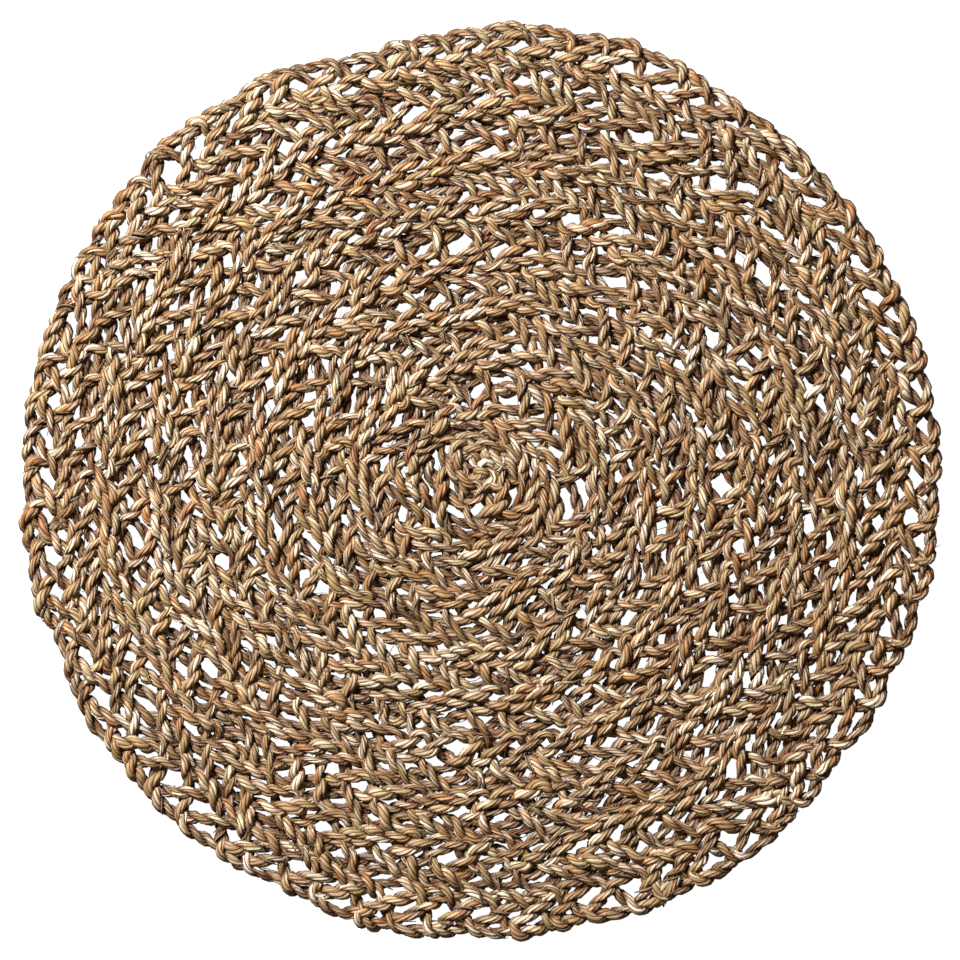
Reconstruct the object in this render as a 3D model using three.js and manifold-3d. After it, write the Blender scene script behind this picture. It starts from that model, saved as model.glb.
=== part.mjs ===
// A round seagrass placemat, worked in nine closed rounds of plaited cord and laid flat. Millimetres, +Z up.
import * as THREE from "three";
import { mergeVertices } from "three/addons/utils/BufferGeometryUtils.js";
import Module from "manifold-3d";

// Driving sizes
const RIM_RADIUS = 185.2; // to the tops of the rim's loops, before the outline's own waves
const ROUNDS = 9;
const ROUND_WIDTH = 20.1; // of each round outside the first, which fills the middle
const CORD = 5.5; // one twisted cord, where its two plies lie side by side
const THICKNESS = 8.4; // two cords that cross, pressed together
const JOIN_DIP = 1.8; // how far the top sinks where one round is worked into the next
const CORDS = 5; // in a round's plait, over two and under two
const RIM_CORDS = 4; // in the last round, which is looser, over one and under one
const LOOPS_PER_ROUND = 9; // each round has this many more edge loops than the round inside it
const RIM_LOOPS = 72; // of the last round
const LOOP_RISE = 1.4; // how far a rim loop stands out past the notch beside it
const OVERLAP = 3.2; // how far a round's edge loops reach into the next round
const LEAN = 0.45; // sideways slant of the plait, as a share of the way across it
const EDGE_BEND = 0.15; // how far a cord's zigzag is rounded, from 0 for straight runs to 1 for a sine

// The outline leaves a true circle in two places: where it is pressed in, and where the last end is tucked
const OUTLINE_WAVES = [
  { atDegrees: 103, spreadDegrees: 11, out: -6 },
  { atDegrees: 305, spreadDegrees: 12, out: 2.2 },
];

// Gaps over 4 mm lie between the crossings of a row, counted from a round's outer edge inward. Share is how
// many of a row's places are open
const GAP_LENGTH = 8; // along the round
const GAP_WIDTH = 4; // across it
const GAP_UNEVEN = 0.3; // share by which lengths and widths vary
const GAP_ROWS = [
  { round: 9, row: 1, share: 0.3 },
  { round: 9, row: 2, share: 0.45 },
  { round: 8, row: 1, share: 0.3 },
  { round: 8, row: 3, share: 0.3 },
  { round: 7, row: 1, share: 0.3 },
  { round: 7, row: 3, share: 0.25 },
  { round: 6, row: 1, share: 0.25 },
  { round: 6, row: 4, share: 0.45 },
  { round: 5, row: 2, share: 0.35 },
  { round: 5, row: 4, share: 0.35 },
  { round: 4, row: 1, share: 0.3 },
];

// Steps of the curved forms
const TURN_STEPS = 72; // of the turned body
const STEPS_PER_LOOP = 4;

// The top across a round, from its inner edge, and the share of JOIN_DIP by which it lies lower there
const CROWN = [
  { across: 0, dip: 1 },
  { across: 0.24, dip: 0.12 },
  { across: 0.76, dip: 0.12 },
];
const CUT_CLEARANCE = 2; // by which cutting and trimming shapes reach past the mat

const SEAGRASS = { color: 0x9c8158, roughness: 0.85, metalness: 0 };

const wasm = await Module();
wasm.setup();

// A closed three.js geometry as a solid that can be cut and joined
function solidOf(geometry) {
  const bare = geometry.index ? geometry.toNonIndexed() : geometry.clone();
  bare.deleteAttribute("normal");
  bare.deleteAttribute("uv");
  const merged = mergeVertices(bare);
  const triVerts = new Uint32Array(merged.index.array);
  const vertProperties = merged.attributes.position.array;
  return new wasm.Manifold(new wasm.Mesh({ numProp: 3, vertProperties, triVerts }));
}

// A finished solid as a three.js geometry
function geometryOf(solid) {
  const mesh = solid.getMesh();
  const geometry = new THREE.BufferGeometry();
  geometry.setAttribute("position", new THREE.BufferAttribute(mesh.vertProperties, mesh.numProp));
  geometry.setIndex(new THREE.BufferAttribute(mesh.triVerts, 1));
  geometry.computeVertexNormals();
  return geometry;
}

// A steady but uneven number from -1 to 1 for each index
function uneven(index, salt) {
  const wave = Math.sin(index * 12.9898 + salt * 78.233) * 43758.5453;
  return 2 * (wave - Math.floor(wave)) - 1;
}

// The radius at which a round starts, with 0 for the middle
function innerRadius(round) {
  return round === 1 ? 0 : RIM_RADIUS - (ROUNDS + 1 - round) * ROUND_WIDTH;
}

// Middle radius of a round's plait, and half the way its cords' middles swing
function plaitSpan(round) {
  const outer = innerRadius(round + 1) - CORD / 2 + (round < ROUNDS ? OVERLAP : 0);
  const inner = innerRadius(round) + CORD / 2 - OVERLAP;
  return { middle: (outer + inner) / 2, half: (outer - inner) / 2 };
}

function cordsIn(round) {
  return round === ROUNDS ? RIM_CORDS : CORDS;
}

function loopsIn(round) {
  return round === ROUNDS ? RIM_LOOPS : round * LOOPS_PER_ROUND;
}

// How far a row of crossings lies from the middle of its plait, as a share of half its width
function rowReach(row, cords) {
  const straight = 1 - (2 * row) / cords;
  return (1 - EDGE_BEND) * straight + EDGE_BEND * Math.cos((Math.PI * row) / cords);
}

// How far a round's loops are turned from the x axis, in loops
function firstLoop(round) {
  return round % 2 === 1 ? 0.5 : 0;
}

// How far the outline stands out from its circle in a direction
function outlineWave(angle) {
  let out = 0;
  for (const wave of OUTLINE_WAVES) {
    const degrees = THREE.MathUtils.euclideanModulo(THREE.MathUtils.radToDeg(angle), 360);
    const away = degrees - wave.atDegrees;
    out += wave.out * Math.exp(-((away / wave.spreadDegrees) ** 2));
  }
  return out;
}

// The body: flat beneath, with each round raised in a low crown, turned as one profile
function crownedDisc() {
  const reach = RIM_RADIUS + CUT_CLEARANCE + LOOP_RISE;
  const profile = [new THREE.Vector2(0, 0), new THREE.Vector2(reach, 0), new THREE.Vector2(reach, CORD)];
  for (let round = ROUNDS; round >= 1; round -= 1) {
    const start = innerRadius(round);
    const width = innerRadius(round + 1) - start;
    for (const { across, dip } of [...CROWN].reverse()) {
      const height = THICKNESS - JOIN_DIP * (round === 1 ? CROWN.at(-1).dip : dip);
      profile.push(new THREE.Vector2(start + across * width, height));
    }
  }
  return solidOf(new THREE.LatheGeometry(profile, TURN_STEPS).rotateX(Math.PI / 2));
}

// The outline seen from above: a rim of loops on the waved circle
function loopedOutline() {
  const outline = new THREE.Shape();
  const loops = loopsIn(ROUNDS);
  const steps = loops * STEPS_PER_LOOP;
  const { middle, half } = plaitSpan(ROUNDS);
  const turned = (LEAN * half) / middle - (2 * Math.PI * firstLoop(ROUNDS)) / loops;
  for (let step = 0; step < steps; step += 1) {
    const angle = (2 * Math.PI * step) / steps;
    const notch = 1 - Math.abs(Math.cos((loops * (angle + turned)) / 2));
    const radius = RIM_RADIUS + outlineWave(angle) - LOOP_RISE * notch;
    const point = [radius * Math.cos(angle), radius * Math.sin(angle)];
    if (step === 0) outline.moveTo(...point);
    else outline.lineTo(...point);
  }
  outline.closePath();
  return outline;
}

function prism(shape) {
  const depth = THICKNESS + 2 * CUT_CLEARANCE;
  const geometry = new THREE.ExtrudeGeometry(shape, { depth, bevelEnabled: false });
  return geometry.translate(0, 0, -CUT_CLEARANCE);
}

// One gap, four-sided, with its long way along the round
function gapPrism(radius, angle, length, width) {
  const diamond = new THREE.Shape([
    new THREE.Vector2(-width / 2, 0),
    new THREE.Vector2(0, -length / 2),
    new THREE.Vector2(width / 2, 0),
    new THREE.Vector2(0, length / 2),
  ]);
  return solidOf(prism(diamond).translate(radius, 0, 0).rotateZ(angle));
}

// All gaps, at the open places of their rows
function gapPrisms() {
  const gaps = [];
  for (const { round, row, share } of GAP_ROWS) {
    const loops = loopsIn(round);
    const { middle, half } = plaitSpan(round);
    const across = rowReach(row, cordsIn(round)) * half;
    for (let index = 0; index < loops; index += 1) {
      const dice = (salt) => uneven(index, round * 10 + row + salt);
      if (dice(0.1) > 2 * share - 1) continue;
      const turn = (index + (1 + row) / 2 - firstLoop(round)) / loops;
      const angle = -2 * Math.PI * turn - (LEAN * across) / middle;
      const radius = (middle + across) * (1 + outlineWave(angle) / RIM_RADIUS);
      const length = GAP_LENGTH * (1 + GAP_UNEVEN * dice(0.2));
      const width = GAP_WIDTH * (1 + GAP_UNEVEN * dice(0.3));
      gaps.push(gapPrism(radius, angle, length, width));
    }
  }
  return gaps;
}

function placemat() {
  const whole = crownedDisc().intersect(solidOf(prism(loopedOutline())));
  const geometry = geometryOf(whole.subtract(wasm.Manifold.compose(gapPrisms())));
  geometry.computeBoundingBox();
  const centre = geometry.boundingBox.getCenter(new THREE.Vector3());
  geometry.translate(-centre.x, -centre.y, 0);
  const mesh = new THREE.Mesh(geometry, new THREE.MeshStandardMaterial(SEAGRASS));
  mesh.name = "placemat";
  return mesh;
}

const part = new THREE.Group();
part.add(placemat());

export default part;
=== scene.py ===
"""Seagrass placemat: nine plaited rounds of twisted cord, laid flat, with a stage to look at it on."""
import math

import bpy
import numpy as np
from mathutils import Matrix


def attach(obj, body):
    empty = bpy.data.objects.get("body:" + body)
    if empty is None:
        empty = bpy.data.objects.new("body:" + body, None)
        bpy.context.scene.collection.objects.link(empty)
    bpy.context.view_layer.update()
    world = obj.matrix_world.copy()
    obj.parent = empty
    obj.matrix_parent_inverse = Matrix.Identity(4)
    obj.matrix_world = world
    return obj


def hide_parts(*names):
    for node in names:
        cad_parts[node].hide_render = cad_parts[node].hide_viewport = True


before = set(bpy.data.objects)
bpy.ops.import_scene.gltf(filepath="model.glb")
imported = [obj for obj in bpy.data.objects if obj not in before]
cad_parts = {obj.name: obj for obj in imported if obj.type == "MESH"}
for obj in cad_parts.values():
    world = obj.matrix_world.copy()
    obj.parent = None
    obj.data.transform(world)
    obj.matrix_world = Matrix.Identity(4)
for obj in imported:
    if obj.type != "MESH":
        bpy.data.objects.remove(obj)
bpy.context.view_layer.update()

bl_info = {
    "name": "Seagrass Placemat",
    "version": (1, 0, 0),
    "blender": (4, 5, 0),
    "location": "View3D > Sidebar > Placemat",
    "description": "Plaits a round seagrass placemat from twisted cord",
    "category": "Add Mesh",
}

BODY = "root"
NODE = "placemat"
TAU = 2 * math.pi
MM = 0.001
UPWARD = (0.0, 0.0, 1.0)
TINY = 1e-12  # added to a length that is divided by

# What makes a steady number uneven, as in the part's source
UNEVEN_INDEX, UNEVEN_SALT, UNEVEN_SPREAD = 12.9898, 78.233, 43758.5453

# Rows of random draws, beside the seed and a round's number
CORD_DRAWS = 1
FIBRE_DRAWS = 2
PULL_DRAWS = 100

# The plait, as the part's source has it
ROUNDS = 9
CORDS = 5  # of a round, over two and under two
RIM_CORDS = 4  # of the last round, which is looser, over one and under one
LOOPS_PER_ROUND = 9  # a round's edge loops are this times its number, but for the first and the last
RIM_LOOPS = 72  # of the last round
LEAN = 0.45  # sideways slant of the plait, as a share of the way across it
EDGE_BEND = 0.15  # how far a cord's zigzag is rounded, from 0 for straight runs to 1 for a sine

# The middle: a small plait of its own, and the first round
START = 0  # number of the small plait
START_CORDS = 3
START_LOOPS = 4
START_RADIUS = 10 * MM
START_ACROSS = 3  # it reaches the cord's thickness divided by this past the centre
FIRST_LOOPS = 6

# How one round meets the next, and how the last one lies
EDGE_STEP = 0.6 * MM  # how far a round's outer edge sinks, and its inner edge rises, where two rounds meet
EDGE_STEP_POWER = 3  # keeps that to the edge
RIM_BEND = 0.6  # EDGE_BEND in the outer half of the last round, whose loops are rounder
RIM_PRESS = 0.28  # share by which that half is pushed out, before the outline holds it in
RIM_FATNESS = 1.05  # its cord's thickness against that of the other rounds

# Where the outline leaves its circle: place and spread in degrees, and how far it stands out
OUTLINE_WAVES = (
    {"at": 103, "spread": 11, "out": -6 * MM},
    {"at": 305, "spread": 12, "out": 2.2 * MM},
)
OUTLINE_STEPS = 1440  # directions in which its box is measured

# Open gaps lie between the crossings of a row, counted from a round's outer edge inward. Share is how many
# of a row's places are open. The part's source has the same gaps
GAP_ROWS = (
    {"round": 9, "row": 1, "share": 0.30},
    {"round": 9, "row": 2, "share": 0.45},
    {"round": 8, "row": 1, "share": 0.30},
    {"round": 8, "row": 3, "share": 0.30},
    {"round": 7, "row": 1, "share": 0.30},
    {"round": 7, "row": 3, "share": 0.25},
    {"round": 6, "row": 1, "share": 0.25},
    {"round": 6, "row": 4, "share": 0.45},
    {"round": 5, "row": 2, "share": 0.35},
    {"round": 5, "row": 4, "share": 0.35},
    {"round": 4, "row": 1, "share": 0.30},
)
GAP_LENGTH = 8.0 * MM  # along the round
GAP_WIDTH = 4.0 * MM  # across it
GAP_UNEVEN = 0.3  # share by which lengths and widths vary
GAP_SALTS = (0.1, 0.2, 0.3)  # for whether a place is open, its length and its width
GAP_ROUND_SALT = 10  # for each round
GAP_CLEAR = 0.40  # of the cord's thickness, from a gap's edge to the middle of the cord beside it
GAP_CORNERS = 1.35  # shape of a gap, from 1 for a diamond to 2 for an oval
GAP_REACH = 3  # half lengths within which a gap moves cords
GAP_EASE = 4  # how quickly its push fades outward
GAP_MIDDLE = 1e-6  # keeps a point in the very middle from dividing by zero

# One long gap beside the tucked end, which the part's source leaves out. At is in degrees, in is from the rim
END_GAP = {"at": -59.0, "in": 7.4 * MM, "length": 20 * MM, "width": 7.5 * MM}

# How far cords stray from an even plait
SWING_LOOPS = 3.2  # edge loops to each slow swing of a cord
PHASE_SWING = 0.13  # radians
WIDTH_SWING = 0.06  # share of the plait's half width
ALONG_SWING = 1.3 * MM
HEIGHT_SWING = 0.18 * MM
OVER_LIFT = 0.15 * MM  # by which crossing cords are lifted apart beyond the mat's thickness
OVER_SHARPNESS = 1.7  # how quickly a cord goes from over to under
FIRST_EASING, LAST_EASING = 30, 2  # passes before and after a line gets its even steps

# How the hands that made it pulled cords out of place, together with those beside them
PULL = 0.9 * MM
MIDDLE_PULL = 1.7 * MM  # added in the middle
MIDDLE_PULL_REACH = 48 * MM
PULL_LENGTHS = (26, 60)  # millimetres

# The cord. A swing is a share, or radians for the twist, and a run is the length of one swing
PLY_RADIUS = 0.316  # of the cord's thickness
PLY_ARM = 0.70  # from the cord's middle to a ply's, in ply radii
PLY_PRESS = 0.14  # share by which the plies flatten each other
TWIST_SWING, TWIST_RUN = 0.35, 40 * MM
CORD_SWING, CORD_RUN = 0.10, 45 * MM
PLY_SWING, PLY_RUN = 0.10, 30 * MM
RIDGE_SWING, RIDGE_RUN = 0.10, 24 * MM
MOST_DEPTH = 1.3  # cord radii from the cord's middle, as the material reads it
PATTERN_STARTS = 40  # metres of pattern in which each strand's own begins

# Mesh steps
WAVES = 6  # added up in an uneven row
PLIES = 2
SIDES = 8  # of a ply
STEP = 1.35 * MM  # along a cord
PATH_STEPS_PER_LOOP = 24
FEWEST_STEPS = 8
CAPS = {4: ((0, 1, 2, 3),), 8: ((0, 1, 2, 3), (0, 3, 4, 7), (7, 4, 5, 6))}  # quads that close a tube's end

# Single blades. A pair is the least and the most
TIP_WIDTH = 0.25  # of a blade's width
TIP_CUT = 0.08  # share of the narrowing that is cut off at each end
LOOSE_BLADES = 900
LOOSE_STEPS = (7, 15)  # the most is one fewer
LOOSE_TURNS = (0.15, 0.85)  # half turns from the cord's side to the middle of the blade
LOOSE_OFF = 0.47  # of the cord's thickness, from its middle
LOOSE_LIFTS = (0.1, 0.9)  # millimetres at the ends
LOOSE_LIFT_POWER = 3
LOOSE_WIDTHS = (0.7, 1.4)  # millimetres
LOOSE_THICK = 0.3 * MM

# Fibres and blade ends that leave their cord
STRAY_STEPS = 6
STRAY_BEND = 0.9  # spread of the whole bend, in radians
STRAY_CLIMB, STRAY_CLIMB_SPREAD = 0.05, 0.12  # slope at the root
STRAY_DROOP = 0.06  # slope lost at each step
STRAY_LOWEST, STRAY_HIGHEST = 0.4 * MM, 9 * MM
STRAY_THICK = 0.6  # of the width
STRAY_FIBRES = 420
FIBRE_ROOTS = (0.1, 0.42)  # of the cord's thickness, above its middle
FIBRE_LENGTHS = (5, 15)  # millimetres
FIBRE_WIDTHS = (0.18, 0.36)  # millimetres
FIBRE_SPREAD = 0.9  # radians from the cord's direction
FIBRE_LOOK = 2  # steps over which that direction is taken
RIM_FIBRES = 0.4  # length of the last round's fibres against the others

# The tucked end, which comes out from inside the rim
END_FROM, END_TO = -61.0, -66.8  # degrees
END_STEPS = 50
END_IN, END_OUTWARD = 2.6, 2.3  # cord thicknesses from the rim where it begins, and how far outward it goes
END_LOW, END_RISE, END_ARCH = 0.30, 0.34, 0.75  # shares of the mat's thickness, and of a half wave
END_TAPER, END_TAPER_POWER = 0.25, 3
END_BLADES = 9
END_BLADE_BACK = 2 * MM  # from the tip to their roots
END_BLADE_LOOK = 3  # steps over which their direction is taken
END_BLADE_LENGTHS = (2.5, 4.5)  # millimetres
END_BLADE_WIDTHS = (0.9, 1.4)  # millimetres
END_BLADE_SPREAD = 0.4  # radians

# The finish. The pattern is the pieces' own map: the share of the way round a ply, and metres along it
FINISH = "Seagrass"
PATTERN = "along_blade"
DEPTH = "depth"  # how far a point lies from its cord's middle, in cord radii
SPECULAR = 0.38
BLADES = 6.0  # side by side round a ply
WANDER, WANDER_PER_M, WANDER_ROW = 2.4, 22.0, 3.7  # blades sideways, scale along the ply, row of the noise
STRETCH_PER_M, STRETCH_SHIFT = 13.0, 0.377  # lengths of one tone, and how far each blade's are shifted
STREAK_AROUND, STREAK_PER_M = 24.0, 90.0
PLY_TONE_PER_M, PLY_TONE_ROW = 34.0, 9.2
BLADE_SHARE, PLY_SHARE, STREAK_SHARE, TONE_BASE = 0.72, 0.9, 0.60, -0.61  # what makes a tone
TONES = (("umber", 0.0), ("rust", 0.045), ("tan", 0.12), ("olive", 0.46), ("straw", 0.74), ("cream", 1.0))
TINTS = (("blush", "Green"), ("leaf", "Blue"))  # and the channel of the dice that picks each
CROWN_HEIGHT = 4.0  # makes a blade's crown 1 high
STREAK_HEIGHT = 0.3  # of a streak, against the crown
BUMP_STRENGTH = 0.9
BUMP_DEPTH = 0.5 * MM

# Ranges of the finish: from, to, and the values there
TINTED = (0.66, 1.0, 0.0, 1.0)
PLY_PAINTED_SHADE = (0.32, 1.0, 0.02, 1.0)  # depth: painted shade where the plies press together
CROSSING_PAINTED_SHADE = (0.5 * MM, 2.6 * MM, 0.45, 1.0)  # height from the mat's middle: painted shade under crossings
BLADE_PAINTED_SHADE = (0.0, 0.60, 0.05, 1.0)  # crown: painted shade between blades
STREAK_PAINTED_SHADE = (0.36, 0.54, 0.40, 1.0)  # streak: painted shade in the fine grooves along the blades
ROUGH = (0.3, 0.7, 0.70, 0.42)  # streak: roughness

# The stage
FLOOR_SIZE = 6.0
FLOOR_DROP = 0.2 * MM  # below the mat, so that the two don't coincide
FLOOR_GREY = (0.2, 0.2, 0.2, 1.0)
FLOOR_ROUGHNESS = 0.9
WHITE = (1.0, 1.0, 1.0, 1.0)
LAMPS = (
    {"name": "key_light", "place": (-0.75, 0.75, 1.0), "size": 0.35, "power": 59.5},
    {"name": "fill_light", "place": (0.5, -0.3, 1.6), "size": 1.2, "power": 1.4},
)
SKY_COLOUR = (1.0, 0.73, 0.45, 1.0)
SKY_STRENGTH = 0.11
CAMERA_HEIGHT = 1.5
VIEW_WIDTH = 0.3861  # across the picture, on the floor
SENSOR = 36.0


class PlacematSizes(bpy.types.PropertyGroup):
    """Sizes of the mat and of its cord"""

    rim_radius: bpy.props.FloatProperty(
        name="Rim Radius", description="To the tops of the rim's loops",
        default=185.2 * MM, unit="LENGTH", precision=4)
    round_width: bpy.props.FloatProperty(
        name="Round Width", description="Width of each of the nine rounds",
        default=20.1 * MM, unit="LENGTH", precision=4)
    thickness: bpy.props.FloatProperty(
        name="Thickness", description="Two cords that cross, pressed together",
        default=8.0 * MM, unit="LENGTH", precision=4)
    cord: bpy.props.FloatProperty(
        name="Cord", description="Diameter of the twisted cord",
        default=5.5 * MM, unit="LENGTH", precision=4)
    lay: bpy.props.FloatProperty(
        name="Lay", description="Length of cord in which its two plies go once round",
        default=15.5 * MM, unit="LENGTH", precision=4)
    counter_lay: bpy.props.FloatProperty(
        name="Counter Lay", description="Length of ply in which its own blades go once round, the other way",
        default=27.0 * MM, unit="LENGTH", precision=4)
    overlap: bpy.props.FloatProperty(
        name="Overlap", description="How far a round's edge loops reach into the next round",
        default=3.2 * MM, unit="LENGTH", precision=4)
    seed: bpy.props.IntProperty(
        name="Seed", description="Start of the uneven spacing and tones", default=7)


class PlacematLooks(bpy.types.PropertyGroup):
    """Colours of the dried blades, from the darkest to the palest, two tints over them, and the colour of the painted
    shade
    """

    # Painted shade: the colour mixed in deep between the plies, under crossings, between blades and in the streaks'
    # grooves
    painted_shade_colour: bpy.props.FloatVectorProperty(
        name="Hollow", description="Deep between the plies and under crossings",
        default=(0.055, 0.014, 0.002), subtype="COLOR", size=3)
    umber: bpy.props.FloatVectorProperty(
        name="Umber", description="The few darkest blades",
        default=(0.060, 0.028, 0.012), subtype="COLOR", size=3)
    rust: bpy.props.FloatVectorProperty(
        name="Rust", description="Red-brown blades",
        default=(0.37, 0.145, 0.050), subtype="COLOR", size=3)
    tan: bpy.props.FloatVectorProperty(
        name="Tan", description="Most of the blades",
        default=(0.336, 0.192, 0.090), subtype="COLOR", size=3)
    olive: bpy.props.FloatVectorProperty(
        name="Olive", description="Blades that kept some green",
        default=(0.330, 0.225, 0.108), subtype="COLOR", size=3)
    straw: bpy.props.FloatVectorProperty(
        name="Straw", description="Pale blades",
        default=(0.572, 0.436, 0.294), subtype="COLOR", size=3)
    cream: bpy.props.FloatVectorProperty(
        name="Cream", description="The palest blades",
        default=(0.905, 0.778, 0.640), subtype="COLOR", size=3)
    blush: bpy.props.FloatVectorProperty(
        name="Blush", description="Tint of blades that dried redder",
        default=(1.0, 0.74, 0.53), subtype="COLOR", size=3)
    leaf: bpy.props.FloatVectorProperty(
        name="Leaf", description="Tint of blades that dried greener",
        default=(0.95, 1.0, 0.86), subtype="COLOR", size=3)


# Uneven values

def wavy(count, cycles, rng):
    """A closed row of values with a spread of 1 that swings about the given number of times and meets itself."""
    turn = np.linspace(0, TAU, count, endpoint=False)
    slowest = max(1, int(cycles / 2))
    fastest = max(slowest + 1, int(cycles * 3 / 2))
    row = np.zeros(count)
    for _ in range(WAVES):
        row += np.cos(rng.integers(slowest, fastest + 1) * turn + rng.uniform(0, TAU))
    return row / math.sqrt(WAVES / 2)


def uneven(index, salt):
    """The steady but uneven number from -1 to 1 that the part's source uses for its gaps."""
    wave = math.sin(index * UNEVEN_INDEX + salt * UNEVEN_SALT) * UNEVEN_SPREAD
    return 2 * (wave - math.floor(wave)) - 1


# The lie of the rounds

def outline_wave(angle):
    """How far the outline stands out from its circle in each direction."""
    degrees = np.degrees(angle) % 360
    return sum(w["out"] * np.exp(-((degrees - w["at"]) / w["spread"]) ** 2) for w in OUTLINE_WAVES)


def outline_centre(sizes):
    """The middle of the waved outline's box, which is the part's origin."""
    angle = np.linspace(0, TAU, OUTLINE_STEPS, endpoint=False)
    radius = sizes.rim_radius + outline_wave(angle)
    x, y = radius * np.cos(angle), radius * np.sin(angle)
    return np.array([(x.max() + x.min()) / 2, (y.max() + y.min()) / 2])


def inner_radius(sizes, number):
    """Where a round starts."""
    return sizes.rim_radius - (ROUNDS + 1 - number) * sizes.round_width


def plait_span(sizes, number):
    """Middle radius of a round's plait and half the way its cords' middles swing."""
    outer = inner_radius(sizes, number + 1) - sizes.cord / 2 + (sizes.overlap if number < ROUNDS else 0.0)
    inner = inner_radius(sizes, number) + sizes.cord / 2 - sizes.overlap
    if number == START:
        outer, inner = START_RADIUS, -sizes.cord / START_ACROSS
    return (outer + inner) / 2, (outer - inner) / 2


def cords_in(number):
    """Cords of a round."""
    return {START: START_CORDS, ROUNDS: RIM_CORDS}.get(number, CORDS)


def loops_in(number):
    """Edge loops of a round."""
    return {START: START_LOOPS, START + 1: FIRST_LOOPS, ROUNDS: RIM_LOOPS}.get(number, number * LOOPS_PER_ROUND)


def row_reach(row, cords):
    """How far a row of crossings lies from the middle of its plait, as a share of half its width."""
    return (1 - EDGE_BEND) * (1 - 2 * row / cords) + EDGE_BEND * math.cos(math.pi * row / cords)


def first_loop(number):
    """How far a round's loops are turned from the x axis, in loops."""
    return 0.5 if number % 2 else 0.0


def gap_at(radius, angle, length, width):
    """Centre, outward direction, half length and half width of a gap."""
    return radius * math.cos(angle), radius * math.sin(angle), angle, length / 2, width / 2


def gaps(sizes):
    """All open gaps, one in each row."""
    rows = []
    for place in GAP_ROWS:
        number, row = place["round"], place["row"]
        loops = loops_in(number)
        middle, half = plait_span(sizes, number)
        across = row_reach(row, cords_in(number)) * half
        for index in range(loops):
            pick, length, width = (uneven(index, number * GAP_ROUND_SALT + row + salt) for salt in GAP_SALTS)
            if pick > 2 * place["share"] - 1:
                continue
            angle = -TAU * (index + (1 + row) / 2 - first_loop(number)) / loops - LEAN * across / middle
            radius = (middle + across) * (1 + float(outline_wave(angle)) / sizes.rim_radius)
            rows.append(gap_at(radius, angle, GAP_LENGTH * (1 + GAP_UNEVEN * length),
                               GAP_WIDTH * (1 + GAP_UNEVEN * width)))
    angle = math.radians(END_GAP["at"])
    radius = sizes.rim_radius + float(outline_wave(angle)) - END_GAP["in"]
    rows.append(gap_at(radius, angle, END_GAP["length"], END_GAP["width"]))
    return np.array(rows)


def open_gaps(x, y, sizes, gap_rows):
    """Moves points of a cord's middle aside so that the gaps stay open."""
    clear = GAP_CLEAR * sizes.cord
    for gap_x, gap_y, angle, half_length, half_width in gap_rows:
        near = np.nonzero(np.hypot(x - gap_x, y - gap_y) < GAP_REACH * half_length)[0]
        if not len(near):
            continue
        out_x, out_y = math.cos(angle), math.sin(angle)
        dx, dy = x[near] - gap_x, y[near] - gap_y
        across = (dx * out_x + dy * out_y) / (half_width + clear)
        along = (-dx * out_y + dy * out_x) / (half_length + clear)
        reach = (np.abs(across) ** GAP_CORNERS + np.abs(along) ** GAP_CORNERS) ** (1 / GAP_CORNERS) + GAP_MIDDLE
        pushed = (reach ** GAP_EASE + 1) ** (1 / GAP_EASE) / reach
        across, along = across * pushed * (half_width + clear), along * pushed * (half_length + clear)
        x[near] = gap_x + across * out_x - along * out_y
        y[near] = gap_y + across * out_y + along * out_x
    return x, y


def even_steps(points, step, closed=True):
    """The same line with points a step apart."""
    ring = np.vstack([points, points[:1]]) if closed else points
    length = np.concatenate([[0], np.cumsum(np.linalg.norm(np.diff(ring, axis=0), axis=1))])
    count = max(FEWEST_STEPS, int(round(length[-1] / step)))
    place = np.linspace(0, length[-1], count, endpoint=not closed)
    return np.column_stack([np.interp(place, length, ring[:, axis]) for axis in range(3)])


def eased(points, passes):
    """A closed line with its kinks eased."""
    for _ in range(passes):
        points = points / 2 + (np.roll(points, 1, axis=0) + np.roll(points, -1, axis=0)) / 4
    return points


def plait_lines(sizes, number, gap_rows, rng):
    """Middle lines of a round's cords, each closed on itself.

    They go over two and under two, or over one and under one in the start and in the last round.
    """
    loops, cords = loops_in(number), cords_in(number)
    middle, half = plait_span(sizes, number)
    last = number == ROUNDS
    laps = cords // math.gcd(loops, cords)
    count = laps * loops * PATH_STEPS_PER_LOOP
    swings = laps * loops / SWING_LOOPS
    run = np.linspace(0, laps * loops, count, endpoint=False)
    changes = RIM_CORDS - 1 if last else 2  # from over to under and back, in one way across the round and back
    lift = (sizes.thickness - sizes.cord) / 2 + OVER_LIFT
    lines = []
    for first in range(cords // laps):
        phase = TAU * (run + first + first_loop(number)) / cords + PHASE_SWING * wavy(count, swings, rng)
        outer = np.cos(phase)
        bend = np.where(outer > 0, RIM_BEND if last else EDGE_BEND, EDGE_BEND)
        sweep = (1 - bend) * (2 / math.pi) * np.arcsin(outer) + bend * outer
        across = half * (1 + WIDTH_SWING * wavy(count, swings, rng)) * sweep
        if last:
            across = np.where(across > 0, across * (1 + RIM_PRESS), across)
        angle = -TAU * run / loops + (ALONG_SWING * wavy(count, swings, rng) - LEAN * across) / middle
        over = np.tanh(OVER_SHARPNESS * np.sin(changes * phase))
        height = sizes.thickness / 2 + lift * over + HEIGHT_SWING * wavy(count, swings, rng)
        if not last:
            height -= EDGE_STEP * np.clip(outer, 0, 1) ** EDGE_STEP_POWER
        if number > START:
            height += EDGE_STEP * np.clip(-outer, 0, 1) ** EDGE_STEP_POWER
        radius = (middle + across) * (1 + outline_wave(angle) / sizes.rim_radius)
        x, y = open_gaps(radius * np.cos(angle), radius * np.sin(angle), sizes, gap_rows)
        if last:
            furthest = middle + half + outline_wave(np.arctan2(y, x))
            held = np.minimum(1, furthest / np.hypot(x, y))
            x, y = x * held, y * held
        line = eased(np.column_stack([x, y, height]), FIRST_EASING)
        lines.append(eased(even_steps(line, STEP), LAST_EASING))
    return lines


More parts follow.
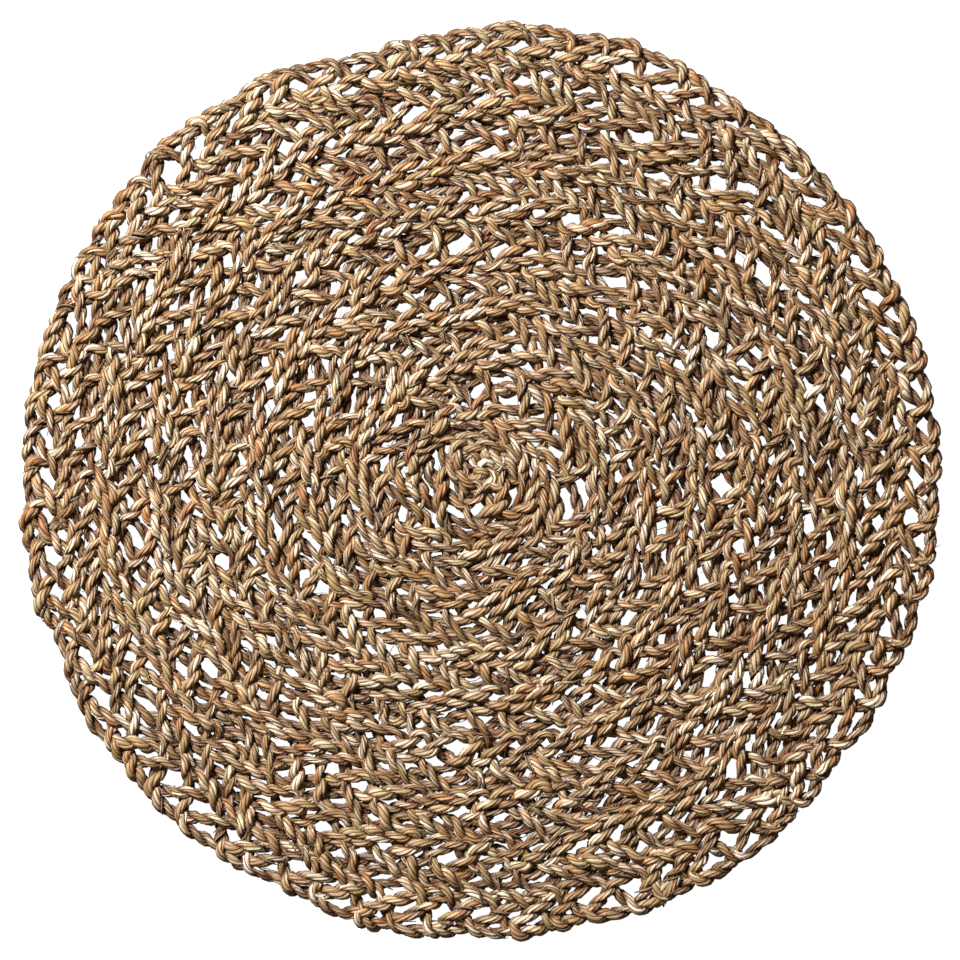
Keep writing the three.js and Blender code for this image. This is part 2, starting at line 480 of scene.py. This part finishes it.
def pulled(points, sizes):
    """Points drawn a little out of place together, most in the middle, as by hands that pull the cords tight."""
    rng = np.random.default_rng([sizes.seed, PULL_DRAWS])
    reach = np.hypot(points[:, 0], points[:, 1])
    amount = PULL + MIDDLE_PULL * np.exp(-(reach / MIDDLE_PULL_REACH) ** 2)
    moved = points.copy()
    for axis in range(2):
        for _ in range(WAVES):
            heading, length = rng.uniform(0, TAU), rng.uniform(*PULL_LENGTHS) * MM
            way = points[:, 0] * math.cos(heading) + points[:, 1] * math.sin(heading)
            moved[:, axis] += amount / math.sqrt(WAVES / 2) * np.cos(TAU * way / length + rng.uniform(0, TAU))
    return moved


def round_lines(sizes, number):
    """The middle lines of a round's cords, in the part's frame. The same each time."""
    rng = np.random.default_rng([sizes.seed, number])
    lines = plait_lines(sizes, number, gaps(sizes), rng)
    for line in lines:
        line[:, :2] = pulled(line[:, :2], sizes) - outline_centre(sizes)
    return lines


# Twisted cord, blades and fibres. A strand is its points, quads, the places of their corners and depths

def skin(rings, along, depth, closed):
    """A strand: a tube over rings of points, with its faces outward."""
    count, sides = rings.shape[:2]
    rows = np.arange(count if closed else count - 1)
    here, there = rows * sides, ((rows + 1) % count) * sides
    low, high = along[:-1], along[1:]
    quads, spots = [], []
    for j in range(sides):
        k = (j + 1) % sides
        quads.append(np.column_stack([here + j, there + j, there + k, here + k]))
        left, right = np.full(len(rows), j / sides), np.full(len(rows), (j + 1) / sides)
        corners = ((left, low), (left, high), (right, high), (right, low))
        spots.append(np.stack([np.column_stack(corner) for corner in corners], axis=1))
    if not closed:
        cap = np.array(CAPS[sides])
        quads += [cap, cap[:, ::-1] + (count - 1) * sides]
        spots += [np.full((*cap.shape, 2), along[0]), np.full((*cap.shape, 2), along[-1])]
    return rings.reshape(-1, 3), np.vstack(quads), np.concatenate(spots), depth.ravel()


def directions(line, closed):
    """Sideways and upward at each point of a line, and the way to the next point."""
    if closed:
        ahead, behind = np.roll(line, -1, axis=0), np.roll(line, 1, axis=0)
    else:
        ahead, behind = np.vstack([line[1:], line[-1:]]), np.vstack([line[:1], line[:-1]])
    along = ahead - behind
    along /= np.linalg.norm(along, axis=1)[:, None]
    side = np.cross(along, UPWARD)
    side /= np.linalg.norm(side, axis=1)[:, None] + TINY
    return side, np.cross(side, along), np.linalg.norm(ahead - line, axis=1)


def twisted_cord(line, sizes, rng, closed=True, fatness=1.0):
    """The two plies of a cord laid round its middle line. Fatness is one value, or one for each point."""
    count = len(line)
    side, top, steps = directions(line, closed)
    place = np.concatenate([[0], np.cumsum(steps)])[:count + closed]
    at, length = place[:count], steps.sum()
    fatness = np.broadcast_to(fatness, count)
    turns = max(1, round(length / sizes.lay))
    counter_turns = max(1, round(length / sizes.counter_lay))
    twist = -TAU * turns * at / length + TWIST_SWING * wavy(count, length / TWIST_RUN, rng) + rng.uniform(0, TAU)
    counter = TAU * counter_turns * at / length
    swelled = fatness * (1 + CORD_SWING * wavy(count, length / CORD_RUN, rng))
    corner = np.arange(SIDES) * TAU / SIDES
    plies = []
    for ply in range(PLIES):
        round_at = (twist + TAU * ply / PLIES)[:, None]
        swing = 1 + PLY_SWING * wavy(count, length / PLY_RUN, rng)
        radius = (sizes.cord * PLY_RADIUS * swelled * swing)[:, None]
        ridge = np.column_stack([1 + RIDGE_SWING * wavy(count, length / RIDGE_RUN, rng) for _ in range(SIDES)])
        turn = corner + counter[:, None]
        off = radius * ridge * (1 - PLY_PRESS * np.cos(2 * (turn - round_at)))
        arm = radius * PLY_ARM
        sideways = (arm * np.cos(round_at) + off * np.cos(turn))[..., None]
        upward = (arm * np.sin(round_at) + off * np.sin(turn))[..., None]
        rings = line[:, None, :] + sideways * side[:, None, :] + upward * top[:, None, :]
        depth = np.linalg.norm(rings - line[:, None, :], axis=2) / (sizes.cord / 2 * fatness[:, None])
        plies.append(skin(rings, place + rng.uniform(0, PATTERN_STARTS), np.clip(depth, 0, MOST_DEPTH), closed))
    return plies


def strip(line, normal, wide, thick, rng):
    """A thin four-sided blade along an open line, narrowing to its ends."""
    count = len(line)
    along = np.gradient(line, axis=0)
    along /= np.linalg.norm(along, axis=1)[:, None]
    across = np.cross(along, normal)
    across /= np.linalg.norm(across, axis=1)[:, None] + TINY
    out = np.cross(across, along)
    arch = np.sin(np.linspace(TIP_CUT, 1 - TIP_CUT, count) * math.pi)
    narrow = (TIP_WIDTH + (1 - TIP_WIDTH) * arch)[:, None]
    rings = np.stack([line - across * narrow * wide / 2, line - out * thick / 2,
                      line + across * narrow * wide / 2, line + out * thick / 2], axis=1)
    place = np.linspace(0, (count - 1) * STEP, count) + rng.uniform(0, PATTERN_STARTS)
    return skin(rings, place, np.ones((count, 4)), closed=False)


def stray(root, onward, rng, length, wide, spread):
    """A fibre that leaves its cord in a low curve."""
    heading = math.atan2(onward[1], onward[0]) + rng.normal(0, spread)
    bend = rng.normal(0, STRAY_BEND) / STRAY_STEPS
    climb = rng.normal(STRAY_CLIMB, STRAY_CLIMB_SPREAD)
    points = [root]
    for _ in range(STRAY_STEPS):
        heading += bend
        ahead = np.array([math.cos(heading), math.sin(heading), climb])
        points.append(points[-1] + ahead * length / STRAY_STEPS)
        climb -= STRAY_DROOP
    line = np.array(points)
    line[:, 2] = np.clip(line[:, 2], STRAY_LOWEST, STRAY_HIGHEST)
    return strip(line, np.array(UPWARD), wide, wide * STRAY_THICK, rng)


def stray_fibre(line, sizes, rng, shortened):
    """A thin fibre that leaves its cord where the line begins."""
    onward = line[FIBRE_LOOK] - line[0]
    onward /= np.linalg.norm(onward)
    root = line[0] + np.array([0, 0, rng.uniform(*FIBRE_ROOTS) * sizes.cord])
    return stray(root, onward, rng, length=rng.uniform(*FIBRE_LENGTHS) * shortened * MM,
                 wide=rng.uniform(*FIBRE_WIDTHS) * MM, spread=FIBRE_SPREAD)


def loose_blade(line, sizes, rng):
    """A flat blade that follows the twist of its cord, from where the line begins, and lifts off at its ends."""
    count = int(rng.integers(*LOOSE_STEPS))
    piece = line[:count]
    side, top, _ = directions(piece, closed=False)
    at = np.arange(count) * STEP
    turn = -TAU * at / sizes.lay + rng.uniform(*LOOSE_TURNS) * math.pi + TAU * at[-1] / sizes.lay / 2
    ends = np.abs(np.linspace(-1, 1, count)) ** LOOSE_LIFT_POWER
    off = (sizes.cord * LOOSE_OFF + ends * rng.uniform(*LOOSE_LIFTS) * MM)[:, None]
    outward = np.cos(turn)[:, None] * side + np.sin(turn)[:, None] * top
    return strip(piece + off * outward, outward, rng.uniform(*LOOSE_WIDTHS) * MM, LOOSE_THICK, rng)


def any_place(lines, rng):
    """One of the lines, begun at any of its points."""
    line = lines[rng.integers(len(lines))]
    return np.roll(line, -rng.integers(len(line)), axis=0)


def piece_from(name, strands, material):
    """One mesh object from strands, with nothing below the table."""
    base = 0
    points, quads, spots, depths = [], [], [], []
    for strand in strands:
        points.append(strand[0])
        quads.append(strand[1] + base)
        spots.append(strand[2])
        depths.append(strand[3])
        base += len(strand[0])
    points, quads, spots = np.vstack(points), np.vstack(quads), np.concatenate(spots)
    points[:, 2] = np.maximum(points[:, 2], 0.0)
    mesh = bpy.data.meshes.new(name)
    mesh.vertices.add(len(points))
    mesh.vertices.foreach_set("co", points.astype(np.float32).ravel())
    mesh.loops.add(quads.size)
    mesh.loops.foreach_set("vertex_index", quads.astype(np.int32).ravel())
    mesh.polygons.add(len(quads))
    mesh.polygons.foreach_set("loop_start", np.arange(0, quads.size, quads.shape[1], dtype=np.int32))
    mesh.update(calc_edges=True)
    mesh.shade_smooth()
    layer = mesh.uv_layers.new(name=PATTERN)
    layer.uv.foreach_set("vector", spots.astype(np.float32).ravel())
    attribute = mesh.attributes.new(DEPTH, "FLOAT", "POINT")
    attribute.data.foreach_set("value", np.concatenate(depths).astype(np.float32))
    mesh.materials.append(material)
    piece = bpy.data.objects.new(name, mesh)
    bpy.context.collection.objects.link(piece)
    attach(piece, BODY)
    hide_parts(NODE)
    return piece


# Finish

def node_tools(tree):
    """Short ways to add nodes to a tree: maths, noise, vector, ranged and mixed. Each gives its node's output."""

    def feed(socket, value):
        if isinstance(value, bpy.types.NodeSocket):
            tree.links.new(value, socket)
        else:
            socket.default_value = value

    def maths(operation, *values):
        node = tree.nodes.new("ShaderNodeMath")
        node.operation = operation
        for socket, value in zip(node.inputs, values):
            feed(socket, value)
        return node.outputs["Value"]

    def noise(place, detail, roughness=0.5):
        node = tree.nodes.new("ShaderNodeTexNoise")
        for name, value in (("Vector", place), ("Scale", 1.0), ("Detail", detail), ("Roughness", roughness)):
            feed(node.inputs[name], value)
        return node.outputs["Fac"]

    def vector(x, y):
        node = tree.nodes.new("ShaderNodeCombineXYZ")
        feed(node.inputs["X"], x)
        feed(node.inputs["Y"], y)
        return node.outputs["Vector"]

    def ranged(value, low, high, to_low, to_high):
        node = tree.nodes.new("ShaderNodeMapRange")
        node.interpolation_type = "SMOOTHSTEP"
        feed(node.inputs["Value"], value)
        for name, number in (("From Min", low), ("From Max", high), ("To Min", to_low), ("To Max", to_high)):
            feed(node.inputs[name], number)
        return node.outputs["Result"]

    def mixed(factor, first, second, blend_type="MIX"):
        node = tree.nodes.new("ShaderNodeMix")
        node.data_type = "RGBA"
        node.blend_type = blend_type
        for name, value in (("Factor", factor), ("A", first), ("B", second)):
            feed(node.inputs[name], value)
        return node.outputs["Result"]

    return maths, noise, vector, ranged, mixed


def seagrass_material():
    """Dried blades: each its own tone, rounded and streaked along its length, with painted shade where the plies
    press together, under crossings and in the grooves between and along the blades.
    """
    if FINISH in bpy.data.materials:
        return bpy.data.materials[FINISH]
    looks, sizes = bpy.context.scene.placemat_looks, bpy.context.scene.placemat_sizes
    material = bpy.data.materials.new(FINISH)
    material.use_nodes = True
    nodes, links = material.node_tree.nodes, material.node_tree.links
    maths, noise, vector, ranged, mixed = node_tools(material.node_tree)
    shader = nodes["Principled BSDF"]
    shader.inputs["Specular IOR Level"].default_value = SPECULAR

    pattern = nodes.new("ShaderNodeUVMap")
    pattern.uv_map = PATTERN
    split = nodes.new("ShaderNodeSeparateXYZ")
    links.new(pattern.outputs["UV"], split.inputs["Vector"])
    around, along = split.outputs["X"], split.outputs["Y"]

    # Blades side by side round the ply, which wander as they run along it
    wander = noise(vector(maths("MULTIPLY", along, WANDER_PER_M), WANDER_ROW), detail=1.0)
    lane = maths("ADD", maths("MULTIPLY", around, BLADES), maths("MULTIPLY", wander, WANDER))
    blade = maths("FLOORED_MODULO", maths("FLOOR", lane), BLADES)
    within = maths("FRACT", lane)
    crown = maths("MULTIPLY", maths("MULTIPLY", within, maths("SUBTRACT", 1.0, within)), CROWN_HEIGHT)

    # The tone of each length of blade, with that of the ply around it and fine streaks
    shifted = maths("MULTIPLY", blade, STRETCH_SHIFT)
    stretch = maths("FLOOR", maths("ADD", maths("MULTIPLY", along, STRETCH_PER_M), shifted))
    dice = nodes.new("ShaderNodeTexWhiteNoise")
    dice.noise_dimensions = "2D"
    links.new(vector(blade, stretch), dice.inputs["Vector"])
    streaks = vector(maths("MULTIPLY", around, STREAK_AROUND), maths("MULTIPLY", along, STREAK_PER_M))
    streak = noise(streaks, detail=2.0, roughness=0.6)
    ply_tone = noise(vector(maths("MULTIPLY", along, PLY_TONE_PER_M), PLY_TONE_ROW), detail=1.0)
    tone = maths("MULTIPLY_ADD", ply_tone, PLY_SHARE, TONE_BASE)
    tone = maths("MULTIPLY_ADD", dice.outputs["Value"], BLADE_SHARE, tone)
    tone = maths("MULTIPLY_ADD", streak, STREAK_SHARE, tone)
    ramp = nodes.new("ShaderNodeValToRGB")
    links.new(tone, ramp.inputs["Fac"])
    stops = ramp.color_ramp.elements
    while len(stops) < len(TONES):
        stops.new(0.5)
    for stop, (shade, position) in zip(stops, TONES):
        stop.position = position
        stop.color = (*getattr(looks, shade), 1.0)

    # Some blades dried redder or greener
    colour = ramp.outputs["Color"]
    chances = nodes.new("ShaderNodeSeparateColor")
    links.new(dice.outputs["Color"], chances.inputs["Color"])
    for tint, chance in TINTS:
        picked = ranged(chances.outputs[chance], *TINTED)
        colour = mixed(picked, colour, (*getattr(looks, tint), 1.0), "MULTIPLY")

    # Painted shade between the plies, under crossings, between blades and in the streaks' fine grooves
    depth = nodes.new("ShaderNodeAttribute")
    depth.attribute_name = DEPTH
    whole = nodes.new("ShaderNodeTexCoord")
    level = nodes.new("ShaderNodeSeparateXYZ")
    links.new(whole.outputs["Object"], level.inputs["Vector"])
    from_middle = maths("ABSOLUTE", maths("SUBTRACT", level.outputs["Z"], sizes.thickness / 2))
    # Painted shade in the crease between the plies and under crossings
    clear_of_painted_shade = maths("MULTIPLY", ranged(depth.outputs["Fac"], *PLY_PAINTED_SHADE), ranged(from_middle, *CROSSING_PAINTED_SHADE))
    # Painted shade between blades and in the streaks' fine grooves
    smooth = maths("MULTIPLY", ranged(crown, *BLADE_PAINTED_SHADE), ranged(streak, *STREAK_PAINTED_SHADE))
    lit = maths("MULTIPLY", clear_of_painted_shade, smooth)
    # Base colour: the blades' tones, mixed toward the painted shade colour where lit is low
    links.new(mixed(lit, (*looks.painted_shade_colour, 1.0), colour), shader.inputs["Base Color"])
    links.new(ranged(streak, *ROUGH), shader.inputs["Roughness"])

    bump = nodes.new("ShaderNodeBump")
    bump.inputs["Strength"].default_value = BUMP_STRENGTH
    bump.inputs["Distance"].default_value = BUMP_DEPTH
    links.new(maths("MULTIPLY_ADD", streak, STREAK_HEIGHT, crown), bump.inputs["Height"])
    links.new(bump.outputs["Normal"], shader.inputs["Normal"])
    return material


# Operators

class PLACEMAT_OT_rounds(bpy.types.Operator):
    """Plait the start and the nine rounds from twisted cord"""

    bl_idname = "placemat.rounds"
    bl_label = "Plaited Rounds"

    def execute(self, context):
        sizes = context.scene.placemat_sizes
        for number in range(START, ROUNDS + 1):
            rng = np.random.default_rng([sizes.seed, number, CORD_DRAWS])
            fatness = RIM_FATNESS if number == ROUNDS else 1.0
            strands = []
            for line in round_lines(sizes, number):
                strands += twisted_cord(line, sizes, rng, fatness=fatness)
            piece_from("start" if number == START else f"round_{number}", strands, seagrass_material())
        return {"FINISHED"}


class PLACEMAT_OT_end(bpy.types.Operator):
    """Tuck the last end of the cord at the rim, its blades cut and spread"""

    bl_idname = "placemat.end"
    bl_label = "Tucked End"

    def execute(self, context):
        sizes = context.scene.placemat_sizes
        rng = np.random.default_rng([sizes.seed, ROUNDS + 1, CORD_DRAWS])
        run = np.linspace(0, 1, END_STEPS)
        angle = np.radians(END_FROM + (END_TO - END_FROM) * run)
        radius = sizes.rim_radius + outline_wave(angle) - sizes.cord * (END_IN - END_OUTWARD * run)
        height = sizes.thickness * (END_LOW + END_RISE * np.sin(math.pi * run * END_ARCH))
        centre = outline_centre(sizes)
        line = np.column_stack([radius * np.cos(angle) - centre[0], radius * np.sin(angle) - centre[1], height])
        line = even_steps(line, STEP, closed=False)
        taper = 1 - END_TAPER * np.linspace(0, 1, len(line)) ** END_TAPER_POWER
        strands = twisted_cord(line, sizes, rng, closed=False, fatness=taper)
        tip, onward = line[-1], line[-1] - line[-1 - END_BLADE_LOOK]
        onward /= np.linalg.norm(onward)
        for _ in range(END_BLADES):
            strands.append(stray(tip - onward * END_BLADE_BACK, onward, rng,
                                 length=rng.uniform(*END_BLADE_LENGTHS) * MM,
                                 wide=rng.uniform(*END_BLADE_WIDTHS) * MM, spread=END_BLADE_SPREAD))
        piece_from("tucked_end", strands, seagrass_material())
        return {"FINISHED"}


class PLACEMAT_OT_fibres(bpy.types.Operator):
    """Lift loose blades off the cords and let thin fibres stray across the gaps"""

    bl_idname = "placemat.fibres"
    bl_label = "Loose Blades and Fibres"

    def execute(self, context):
        sizes = context.scene.placemat_sizes
        numbers = range(START + 1, ROUNDS + 1)
        blades, fibres = [], []
        for number in numbers:
            rng = np.random.default_rng([sizes.seed, number, FIBRE_DRAWS])
            lines = round_lines(sizes, number)
            share = number / sum(numbers)
            shortened = RIM_FIBRES if number == ROUNDS else 1.0
            for _ in range(round(LOOSE_BLADES * share)):
                blades.append(loose_blade(any_place(lines, rng), sizes, rng))
            for _ in range(round(STRAY_FIBRES * share)):
                fibres.append(stray_fibre(any_place(lines, rng), sizes, rng, shortened))
        piece_from("loose_blades", blades, seagrass_material())
        piece_from("stray_fibres", fibres, seagrass_material())
        return {"FINISHED"}


class PLACEMAT_OT_stage(bpy.types.Operator):
    """Add the floor, the lights and the camera that looks straight down"""

    bl_idname = "placemat.stage"
    bl_label = "Stage"

    def execute(self, context):
        scene = context.scene
        bpy.ops.object.select_all(action="DESELECT")
        bpy.ops.mesh.primitive_plane_add(size=FLOOR_SIZE, location=(0, 0, -FLOOR_DROP))
        floor = context.object
        floor.name = "floor"
        paint = bpy.data.materials.new("Pale Floor")
        paint.use_nodes = True
        shader = paint.node_tree.nodes["Principled BSDF"]
        shader.inputs["Base Color"].default_value = FLOOR_GREY
        shader.inputs["Roughness"].default_value = FLOOR_ROUGHNESS
        shader.inputs["Emission Color"].default_value = WHITE
        seen = paint.node_tree.nodes.new("ShaderNodeLightPath")
        paint.node_tree.links.new(seen.outputs["Is Camera Ray"], shader.inputs["Emission Strength"])
        floor.data.materials.append(paint)

        for kind in LAMPS:
            lamp = bpy.data.lights.new(kind["name"], "AREA")
            lamp.size = kind["size"]
            lamp.energy = kind["power"]
            light = bpy.data.objects.new(kind["name"], lamp)
            light.location = kind["place"]
            toward = -light.location
            light.rotation_euler = toward.to_track_quat("-Z", "Y").to_euler()
            context.collection.objects.link(light)

        world = scene.world or bpy.data.worlds.new("World")
        scene.world = world
        world.use_nodes = True
        sky = world.node_tree.nodes["Background"]
        sky.inputs["Color"].default_value = SKY_COLOUR
        sky.inputs["Strength"].default_value = SKY_STRENGTH
        scene.view_settings.view_transform = "Standard"

        lens = bpy.data.cameras.new("camera")
        lens.sensor_width = SENSOR
        lens.lens = lens.sensor_width * CAMERA_HEIGHT / VIEW_WIDTH
        camera = bpy.data.objects.new("camera", lens)
        camera.location = (0, 0, CAMERA_HEIGHT)
        context.collection.objects.link(camera)
        scene.camera = camera
        return {"FINISHED"}


class PLACEMAT_PT_panel(bpy.types.Panel):
    """Sizes, colours and pieces of the placemat"""

    bl_idname = "PLACEMAT_PT_panel"
    bl_label = "Seagrass Placemat"
    bl_space_type = "VIEW_3D"
    bl_region_type = "UI"
    bl_category = "Placemat"

    def draw(self, context):
        layout = self.layout
        for group in (context.scene.placemat_sizes, context.scene.placemat_looks):
            for name in group.__annotations__:
                layout.prop(group, name)
        for step in OPERATORS:
            layout.operator(step.bl_idname)


OPERATORS = (PLACEMAT_OT_rounds, PLACEMAT_OT_end, PLACEMAT_OT_fibres, PLACEMAT_OT_stage)
CLASSES = (PlacematSizes, PlacematLooks, *OPERATORS, PLACEMAT_PT_panel)


def register():
    for cls in CLASSES:
        bpy.utils.register_class(cls)
    bpy.types.Scene.placemat_sizes = bpy.props.PointerProperty(type=PlacematSizes)
    bpy.types.Scene.placemat_looks = bpy.props.PointerProperty(type=PlacematLooks)


def unregister():
    del bpy.types.Scene.placemat_looks
    del bpy.types.Scene.placemat_sizes
    for cls in reversed(CLASSES):
        bpy.utils.unregister_class(cls)


def main():
    register()
    bpy.ops.placemat.rounds()
    bpy.ops.placemat.end()
    bpy.ops.placemat.fibres()
    bpy.ops.placemat.stage()


if __name__ == "__main__":
    main()
